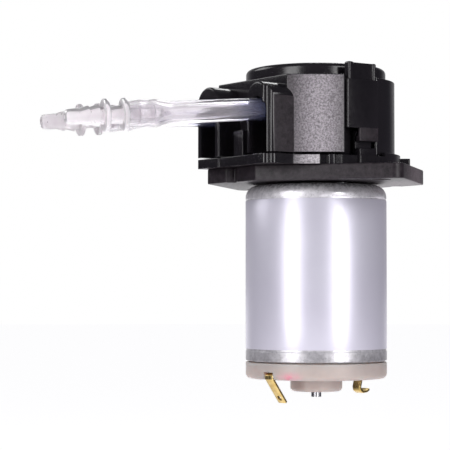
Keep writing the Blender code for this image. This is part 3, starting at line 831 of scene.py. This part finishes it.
def hook(name, side):
    """The pedestal, the slim column and its lip, which a latch's foot catches under."""
    outline = [(14.3, 3.8), (16.5, 3.8), (16.5, 5.95), (16.35, 6.1), (15.0, 6.1), (15.0, 8.7), (15.5, 8.7), (15.5, 9.1)]
    outline += [(15.1, 9.5), (14.3, 9.5)]
    half, middle, edge = 2.0, -0.3, 0.12
    shape = slab(name, outline, -half, half, edge, edge)
    shape.data.transform(Matrix(((0, 0, 1, middle * MM), (side, 0, 0, 0), (0, 1, 0, 0), (0, 0, 0, 1))))
    if side < 0:
        shape.data.flip_normals()
    return shape


def make_base():
    base = slab("mounting_base", plate_outline(), 0.0, PLATE_TOP, 0.18, 0.28)
    join(base, slab("flange", flange_outline(), PLATE_TOP - 0.02, FLANGE_TOP, 0.0, 0.14))
    lip = arc(FLANGE_RADIUS, -75, 75, 60) + arc(15.8, 75, -75, 60)
    join(base, slab("lip", lip, FLANGE_TOP - 0.4, 5.5, 0.0, 0.12))
    edge = arc(18.6, -37, -20, 6)
    lug = filleted([(*edge[0], 0.3), *edge[1:-1], (*edge[-1], 0.3), *arc(13, -20, -37, 3)])
    join(base, slab("lug", lug, 2.5, 5.1, 0.0, 0.15))
    join(base, box("post", (-18.9, -1.55, FLANGE_TOP - 0.3), (-15.4, 1.55, 9.7), 0.2))
    join(base, hook("hook_front", -1), hook("hook_rear", 1))
    cut(base, turned("pocket", [(0, 3.2), (11.4, 3.2), (11.4, 12), (0, 12)]))
    cut(base, turned("motor_hole", [(0, -1), (5.4, -1), (5.4, 8), (0, 8)], 64))
    for y in (-HOLE_Y, HOLE_Y):
        drill = [(0, -1), (HOLE_RADIUS + 0.9, -0.9), (HOLE_RADIUS, 0.25), (HOLE_RADIUS, 2.7), (HOLE_RADIUS + 1.6, 4.3)]
        cut(base, turned("drill", [*drill, (0, 4.3)], 48, Matrix.Translation((0, y, 0))))
    ground, plain = dull_plastic("plate_plastic", True), black_plastic()
    # The grained step takes the bowed walls' painted highlight, in a paler tone.
    shade(base, ground, plain, sparked_plastic("sparked_flange", (0.62, 0.59, 0.62)))

    def on_grained_step(centre, normal):
        upright = abs(normal.z) < 0.3 and PLATE_TOP < centre.z < FLANGE_TOP
        return upright and on_bowed_wall(centre, normal) and centre.x < -9.7

    paint(base, 1, lambda c, n: c.z > PLATE_TOP + 0.02)
    paint(base, 2, on_grained_step)
    stand(base, "frame", ["base_plate"])


# ---------------------------------------------------------------- head


def body_outline():
    """The housing without its tube holders: flat and bowed walls, a recess for each latch and the round back."""
    front_y, rear_y = corner_y(FRONT_BOW), corner_y(REAR_BOW)
    left, right = LATCH_LOW.x - GAP, LATCH_HIGH.x + GAP
    back_y = -math.sqrt(BACK_RADIUS**2 - right**2)
    recess = [(left, -SHOULDER_Y, 0.4), (left, -RECESS_Y), (right, -RECESS_Y), (right, back_y, 0.4)]
    front = [(WALL_X, -front_y, 0.45), *shoulder(FRONT_BOW, front_y)[1:-1], *recess]
    rear = [(WALL_X, -rear_y, 0.45), *shoulder(REAR_BOW, rear_y)[1:-1], *recess]
    rear = [(p[0], -p[1], *p[2:]) for p in reversed(rear)]
    return filleted([*front, *round_back(BACK_RADIUS, right)[1:-1], *rear])


def holder(name, side):
    """A tube holder: an arch along the tube, with a shaped free end and softened edges."""
    y = -TUBE_Y if side < 0 else TUBE_Y + REAR_SHIFT
    half = HOLDER_HALF if side < 0 else HOLDER_HALF + REAR_EXTRA
    nose = nose_outline(side < 0)
    plan = [(-12.2, nose[0][1]), *nose, (-12.2, nose[-1][1])]
    block = slab(name, plan if side < 0 else mirrored(plan), HEAD_LOW.z, 20.4)
    arch = [*arc(half + 0.01, 0, 180, 32, (y, HOLDER_SPRING)), (y - half - 0.01, 4.0), (y + half + 0.01, 4.0)]
    return combine(block, [slab("arch", arch, MOUTH_X - 0.01, -11.0, 0.45, 0.0, 4, ALONG_X)], "INTERSECT")


def make_housing():
    body = slab("head_housing", body_outline(), HEAD_LOW.z, HEAD_HIGH.z + 0.15, 0.12, 0.15)
    join(body, holder("holder_front", -1), holder("holder_rear", 1))
    cut(body, turned("track", [(0, 0), (TRACK_RADIUS, 0), (TRACK_RADIUS, 30), (0, 30)]))
    for side in (-1, 1):
        y = side * TUBE_Y
        slot = arc(CHANNEL_RADIUS, 0, 180, 24, (y, TUBE_Z)) + [(y - CHANNEL_RADIUS, 4.0), (y + CHANNEL_RADIUS, 4.0)]
        cut(body, slab("slot", slot, MOUTH_X - 2, -15.7, matrix=ALONG_X))
        channel = arc(CHANNEL_RADIUS, 0, 352.5, 47, (y, TUBE_Z))
        cut(body, slab("channel", channel, MOUTH_X - 2, -6.5, matrix=ALONG_X))
    # The bowed walls' grain carries a painted highlight across the middle of each wall.
    shade(body, black_plastic(), sparked_plastic("sparked_wall", (0.41, 0.38, 0.41)), dull_plastic("holder_plastic"))
    paint(body, 1, on_bowed_wall)
    paint(body, 2, lambda c, n: c.x < -12.4 and abs(n.y) > 0.95 and abs(c.y) > TUBE_Y + HOLDER_HALF - 0.05)
    stand(body, "frame", ["pump_housing"])


def on_bowed_wall(centre, normal):
    """Whether a face belongs to the grained part of one of the two bowed walls."""
    x, y, radius = FRONT_BOW if centre.y < 0 else REAR_BOW
    out = Vector((centre.x - x, -abs(centre.y) - y))
    facing = Vector((normal.x, normal.y if centre.y < 0 else -normal.y))
    return abs(out.length - radius) < 0.1 and facing.dot(out.normalized()) > 0.97 and centre.x < LATCH_LOW.x - 0.4


def make_lid():
    """The round cap: a rounded edge, a shallow dish on top and a hub beneath."""
    top = LID_HIGH.z + 0.2
    foot = HEAD_HIGH.z + GAP
    bend = 0.95
    edge = arc(bend, 0, 90, 8, (LID_RADIUS - bend, top - bend))
    dish = [(11.4, top), (11.1, top - 0.2), (0, top - 0.2)]
    profile = [(0, 16.8), (1.9, 16.8), (1.9, 18.4), (10.1, 18.4), (10.1, 18.2), (11.6, 18.2), (11.6, foot)]
    profile += [(LID_RADIUS - 0.15, foot), (LID_RADIUS, foot + 0.15)]
    lid = turned("head_lid", [*profile, *edge, *dish], 144)
    shade(lid, black_plastic(), dull_plastic("lid_face_plastic"))
    paint(lid, 1, lambda c, n: n.z > 0.9 and c.z > top - 0.3)
    stand(lid, "frame", ["head_cap"])


def make_latch(name, node, side):
    """A snap latch: a flat panel, a ribbed finger tab above it and a narrow grained foot below."""
    left, right = LATCH_LOW.x, LATCH_HIGH.x

    def rib(part, x0, x1, back, face, z0, z1, edge=0.15):
        low, high = sorted((side * back, side * face))
        return box(part, (x0, low, z0), (x1, high, z1), edge)

    latch = rib(name, left, right, 14.7, 16.5, 9.8, 19.2, 0.22)
    tab_left, tab_right = left + 0.35, right - 0.45
    top = LATCH_HIGH.z + 0.25
    join(latch, rib("tab", tab_left, tab_right, 15.0, 16.1, 18.6, top - 0.1, 0.25))
    join(latch, rib("cheek_left", tab_left, tab_left + 1.3, 15.0, 16.5, 18.8, top, 0.3))
    join(latch, rib("cheek_right", tab_right - 0.9, tab_right, 15.0, 16.5, 18.8, top - 0.1, 0.3))
    join(latch, rib("foot", -2.3, right, 15.8, 16.48, 7.4, 10.2, 0.1))
    join(latch, rib("nose", -2.3, right, 15.3, 16.0, 7.4, 8.4, 0.1))
    shade(latch, black_plastic(), dull_plastic("foot_plastic"))
    paint(latch, 1, lambda c, n: c.z < 9.8)
    stand(latch, node, [node])


# ---------------------------------------------------------------- motor


def make_can():
    """The drawn can: a boss round the shaft, a round shoulder, a slimmer waist for the label and a bare rim."""
    shell_in = CAN_RADIUS - 0.95
    face_in = CAN_FACE - 0.8
    waist = CAN_RADIUS - 0.1
    foot = CAN_LOW.z
    bend, bend_in = 2.3, 1.4
    outer = arc(bend, 90, 0, 14, (CAN_RADIUS - bend, CAN_FACE - bend))
    inner = arc(bend_in, 0, 90, 8, (shell_in - bend_in, face_in - bend_in))
    profile = [(3.5, 2.2), (4.7, 2.2), (5.0, 1.9), (5.0, CAN_FACE), *outer]
    profile += [(CAN_RADIUS, -3.0), (waist, -3.1), (waist, LABEL_LOW.z - 0.4)]
    profile += [(CAN_RADIUS, LABEL_LOW.z - 0.5), (CAN_RADIUS, foot + 0.12), (CAN_RADIUS - 0.12, foot)]
    profile += [(shell_in, foot), *inner, (3.5, face_in)]
    can = turned("can_shell", profile, 160)
    raise_knobs(can)
    for y in (-8.0, 8.0):
        cut(can, turned("screw_hole", [(0, -4), (1.5, -4), (1.5, 1), (0, 1)], 32, Matrix.Translation((0, y, 0))))
    shade(can, drawn_steel(), angle=40)
    stand(can, "frame", ["motor_can"])


def raise_knobs(can):
    """Raises the two pairs of stamped knobs on the can's round shoulder."""
    knobs = [(KNOB_START + turn + offset, *rest) for turn in (0, 180) for offset, *rest in KNOBS]
    for vert in can.data.vertices:
        x, y, z = vert.co / MM
        radius = math.hypot(x, y)
        if radius < 11.5 or z < -4.5 or z > CAN_FACE + 0.05:
            continue
        angle = math.degrees(math.atan2(y, x))
        for middle, height, wide, tall, most in knobs:
            away = (angle - middle + 180) % 360 - 180
            across = math.radians(away) * CAN_RADIUS / wide
            rise = (z - height) / tall
            out = most * math.exp(-(across**2) - rise**2)
            vert.co.x += x / radius * out * MM
            vert.co.y += y / radius * out * MM


def make_label():
    """The label as a thin sleeve in the can's waist."""
    outside = CAN_RADIUS + 0.02
    inside = CAN_RADIUS - 0.06
    top, foot = LABEL_HIGH.z, LABEL_LOW.z
    profile = [(inside, foot), (outside - 0.02, foot), (outside, foot + 0.03)]
    profile += [(outside, top - 0.03), (outside - 0.02, top), (inside, top)]
    label = turned("label_sleeve", profile, 160)
    shade(label, label_foil())
    stand(label, "frame", ["motor_label"])


def make_end_cap():
    """The nylon end cap with its bearing boss, a hollow and a notch for each terminal."""
    foot = CAP_LOW.z + 2.6
    rim = CAN_LOW.z - GAP
    edge = arc(0.9, -90, 0, 8, (CAN_RADIUS - 0.9, foot + 0.9))
    boss = arc(0.8, -90, 0, 6, (BOSS_RADIUS - 0.8, CAP_LOW.z + 0.8))
    profile = [(1.3, CAP_LOW.z + 0.2), (1.6, CAP_LOW.z), *boss]
    profile += [(BOSS_RADIUS, foot - 0.25), (BOSS_RADIUS + 0.25, foot), *edge]
    profile += [(CAN_RADIUS, rim - 0.1), (CAN_RADIUS - 0.1, rim), (12.6, rim), (12.6, -31.9), (11.4, -31.9)]
    profile += [(11.4, -36.3), (5.4, -36.3), (5.4, -35.3), (3.5, -35.3), (3.5, -39.4), (1.3, -39.4)]
    cap = turned("end_cap_shell", profile, 144)
    for angle in (180 + TERMINAL_ANGLE, TERMINAL_ANGLE):
        turn = Matrix.Rotation(math.radians(angle), 4, "Z")
        notch = slab("notch", [(9.9, -1.2), (15, -1.2), (15, 1.2), (9.9, 1.2)], -39.0, -36.5, matrix=turn)
        cut(cap, notch)
    shade(cap, natural_nylon())
    stand(cap, "frame", ["motor_end_cap"])


def strip(name, angle, path, width, thickness):
    """A flat brass strip bent along a path of (radius, height) points in the vertical plane at that angle."""
    bm = bmesh.new()
    thick, wide = thickness / 2, width / 2
    rings = []
    for i, (radius, height) in enumerate(path):
        before = Vector(path[max(i - 1, 0)])
        after = Vector(path[min(i + 1, len(path) - 1)])
        ahead = (after - before).normalized()
        out = Vector((-ahead.y, ahead.x)) * thick
        corners = [(out, -wide), (out, wide), (-out, wide), (-out, -wide)]
        rings.append([bm.verts.new((radius + o.x, w, height + o.y)) for o, w in corners])
    for near, far in zip(rings, rings[1:]):
        for k in range(4):
            bm.faces.new((near[k - 1], near[k], far[k], far[k - 1]))
    bm.faces.new(rings[0])
    bm.faces.new(rings[-1][::-1])
    piece = from_bmesh(name, bm, Matrix.Rotation(math.radians(angle), 4, "Z"))
    bevel = piece.modifiers.new("edges", "BEVEL")
    bevel.width = 0.09 * MM
    bevel.segments = 2
    bevel.limit_method = "ANGLE"
    bevel.angle_limit = math.radians(40)
    return apply_modifiers(piece)


def make_terminals():
    """The left terminal slants inwards and ends in an eye. The right one is bent outwards at its foot."""
    root = [(10.6, -33.0), (10.6, -36.3), (10.9, -36.7)]
    left_angle = 180 + TERMINAL_ANGLE
    slanted = [*root, (12.9, -36.9), (13.4, -37.2), (13.4, -37.7), (9.6, -42.4)]
    left = strip("terminal_left_strip", left_angle, slanted, TERMINAL_WIDTH, TERMINAL_THICKNESS)
    eye = filleted([(-0.6, -0.4, 0.35), (0.6, -0.4, 0.35), (0.6, 0.4, 0.35), (-0.6, 0.4, 0.35)])
    place = Matrix.Translation(Vector((10.4, 0, -41.4))) @ Matrix.Rotation(math.radians(-51), 4, "Y")
    tilt = Matrix.Rotation(math.radians(left_angle), 4, "Z") @ place
    cut(left, slab("eye", eye, -1, 1, matrix=tilt))
    shade(left, bright_brass())
    stand(left, "frame", ["terminal_left"])
    bent = [*root, (12.8, -37.1), (13.1, -37.6), (12.3, -40.3), (12.5, -40.9), (13.2, -41.3), (14.4, -41.2)]
    bent.append((15.1, -40.8))
    right = strip("terminal_right_strip", TERMINAL_ANGLE, bent, TERMINAL_WIDTH, TERMINAL_THICKNESS)
    shade(right, bright_brass())
    stand(right, "frame", ["terminal_right"])


# ---------------------------------------------------------------- tubes and connectors


def smooth_route(route, spacing=0.5):
    """Points about the given spacing apart on a smooth curve through the points of the route."""
    ends = [Vector(route[0]) * 2 - Vector(route[1]), Vector(route[-1]) * 2 - Vector(route[-2])]
    knots = [ends[0], *[Vector(point) for point in route], ends[1]]
    points = []
    for a, b, c, d in zip(knots, knots[1:], knots[2:], knots[3:]):
        parts = max(1, round((c - b).length / spacing))
        for i in range(parts):
            t = i / parts
            bend = (2 * a - 5 * b + 4 * c - d) * t * t + (3 * b - a - 3 * c + d) * t**3
            points.append((2 * b + (c - a) * t + bend) / 2)
    points.append(Vector(route[-1]))
    return points


def length_of(points):
    return sum((b - a).length for a, b in zip(points, points[1:]))


def barb_swell(distance):
    """How far the tube is stretched over the connector's inner barbs, at a distance back from its end."""
    neck = 0.36 / (1 + math.exp((distance - 6.9) / 0.45))
    ridges = sum(0.22 * math.exp(-(((distance - place) / 0.8) ** 2)) for place in INNER_BARBS)
    return neck + ridges


def make_free_end(prefix, route):
    """One hollow tube end and the connector that is pushed into it."""
    points = smooth_route(route)
    heading = (points[-1] - points[-2]).normalized()
    # The tube stops just short of the connector's flange.
    points[-1] = points[-1] - heading * 0.1
    total = length_of(points)
    run = 0.0
    outer, inner = [], []
    for i, point in enumerate(points):
        run += (point - points[i - 1]).length if i else 0.0
        swell = barb_swell(total - run)
        outer.append(TUBE_RADIUS + swell * OUTER_STRETCH)
        inner.append(BORE_RADIUS + swell * BORE_STRETCH)
    tube = hose(f"{prefix}_hose", points, outer, inner)
    shade(tube, silicone())
    stand(tube, "frame", [f"{prefix}_tube"])
    matrix = Matrix.Translation(Vector(route[-1])) @ heading.to_track_quat("Z", "Y").to_matrix().to_4x4()
    fitting = turned(f"{prefix}_fitting", FITTING, 64, matrix)
    shade(fitting, polypropylene(), angle=50)
    stand(fitting, "frame", [f"{prefix}_connector"])


# ---------------------------------------------------------------- the pieces kept from the frame


def dress_kept_nodes():
    """Finishes the inner pieces, whose CAD shapes are kept."""
    steel = ground_metal("ground_steel", (0.48, 0.48, 0.50), 0.2, 0.36)
    copper = ground_metal("copper_wire", (0.80, 0.38, 0.20), 0.25, 0.4, 0.25)
    core = ground_metal("core_laminations", (0.32, 0.32, 0.34), 0.35, 0.55, 0.3)
    bronze = ground_metal("sintered_bronze", (0.5, 0.34, 0.2), 0.4, 0.6)
    ferrite = grained("ferrite", (0.07, 0.07, 0.075), 0.55, 0.75)
    carbon = grained("carbon", (0.03, 0.03, 0.03), 0.5, 0.7)
    acetal = grained("acetal", (0.80, 0.79, 0.75), 0.32, 0.45, 0.02)
    rubber = silicone()
    looks = {
        "magnet_a": ferrite, "magnet_b": ferrite, "front_bearing": bronze, "rear_bearing": bronze,
        "brush_a": carbon, "brush_b": carbon, "motor_screw_a": steel, "motor_screw_b": steel, "pump_tube": rubber,
        "motor_shaft": steel, "armature_core": core, "armature_winding": copper, "commutator": copper,
        "drive_sleeve": steel, "carrier_lower": acetal, "carrier_upper": acetal,
    }
    for i in (1, 2, 3):
        looks[f"roller_pin_{i}"] = steel
        looks[f"roller_{i}"] = acetal
    for node, look in looks.items():
        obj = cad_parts[node]
        if not obj.material_slots:
            obj.data.materials.append(look)
        for slot in obj.material_slots:
            slot.material = look


make_studio()
make_free_end("inlet", INLET_ROUTE)
make_free_end("outlet", OUTLET_ROUTE)
make_base()
make_housing()
make_lid()
make_latch("front_latch", "latch_front", -1)
make_latch("rear_latch", "latch_rear", 1)
make_can()
make_label()
make_end_cap()
make_terminals()
dress_kept_nodes()
